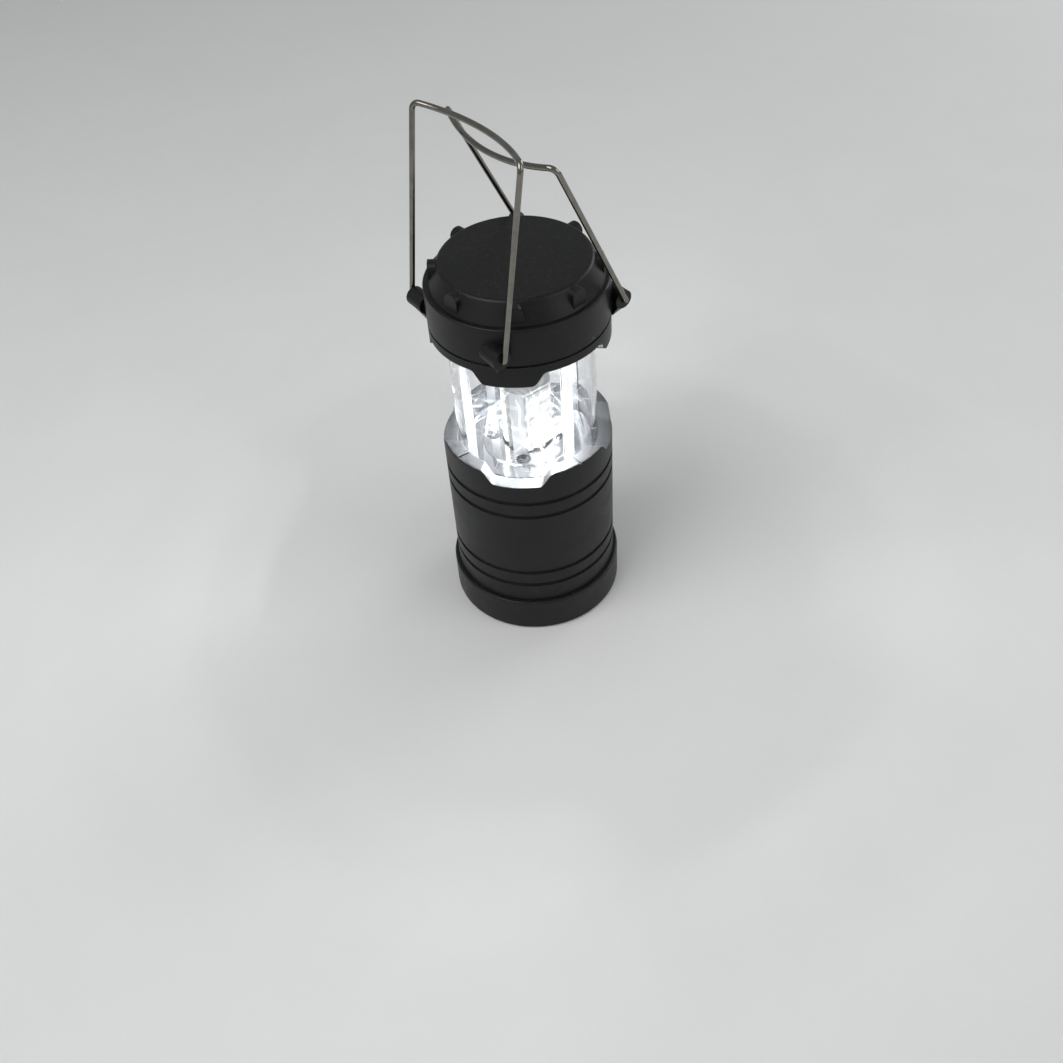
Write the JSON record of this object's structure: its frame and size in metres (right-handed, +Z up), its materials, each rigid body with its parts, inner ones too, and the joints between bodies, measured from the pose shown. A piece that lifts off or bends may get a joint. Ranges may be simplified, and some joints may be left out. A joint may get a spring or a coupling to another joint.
{
  "type": "camping lantern",
  "caption": "Round collapsible camping lantern: a sleeve base on a turning bottom cap, a clear globe that slides down into it, a black head and folding wire bails.",
  "frame": {"origin": "middle of the face that the lantern stands on", "axes": "+Z up along the lantern's axis, +X along the bail pivots"},
  "size_m": [0.0842, 0.0842, 0.253],
  "materials": {
    "black_plastic": "satin moulded black",
    "clear_plastic": "clear, lightly scratched",
    "grey_plastic": "matt moulded grey",
    "silvered_plastic": "metallised silver",
    "white_plastic": "matt moulded white",
    "board": "white solder mask",
    "led": "LED lens, lit cold white",
    "cell": "plain battery can",
    "brass_contact": "plated spring brass",
    "screw_steel": "zinc plated",
    "wire_steel": "bright drawn wire",
    "rubber": "soft black rubber"
  },
  "bodies": {
    "base": {"base_sleeve": "black_plastic", "inner_core": "grey_plastic", "battery_carrier": "grey_plastic", "lower_reflector": "silvered_plastic", "led_tower": "white_plastic", "tower_cap": "white_plastic", "circuit_board": "board", "led_board_1": "board", "led_board_2": "board", "led_board_3": "board", "led_chips_1": "led", "led_chips_2": "led", "led_chips_3": "led", "battery_1": "cell", "battery_2": "cell", "battery_3": "cell", "battery_terminals": "brass_contact", "cell_springs": "brass_contact", "cell_contacts": "brass_contact", "contact_rail": "brass_contact", "core_screws": "screw_steel", "board_screws": "screw_steel", "reflector_screws": "screw_steel", "tower_screw": "screw_steel", "globe_seal": "rubber"},
    "cap": {"bottom_cap": "black_plastic", "foot_pad": "rubber", "cap_gasket": "rubber", "battery_pad": "rubber"},
    "head": {"globe": "clear_plastic", "globe_retainer": "grey_plastic", "wiper_contact": "brass_contact", "head_ring": "black_plastic", "top_cap": "black_plastic", "upper_reflector": "silvered_plastic", "cap_screws": "screw_steel"},
    "front_bail": {"bail_front": "wire_steel"},
    "rear_bail": {"bail_rear": "wire_steel"}
  },
  "joints": [
    {"name": "head_slide", "type": "slide", "parent": "base", "child": "head", "axis": [0, 0, 1], "range_m": [-0.0567, 0]},
    {"name": "front_bail_swing", "type": "hinge", "parent": "head", "child": "front_bail", "pos_m": [0, -0.03228, 0.1703], "axis": [1, 0, 0], "range_deg": [0, 187]},
    {"name": "rear_bail_swing", "type": "hinge", "parent": "head", "child": "rear_bail", "pos_m": [0, 0.03228, 0.1703], "axis": [-1, 0, 0], "range_deg": [0, 203]},
    {"name": "cap_twist", "type": "hinge", "parent": "base", "child": "cap", "pos_m": [0, 0, 0], "axis": [0, 0, 1], "range_deg": [0, 30]}
  ]
}
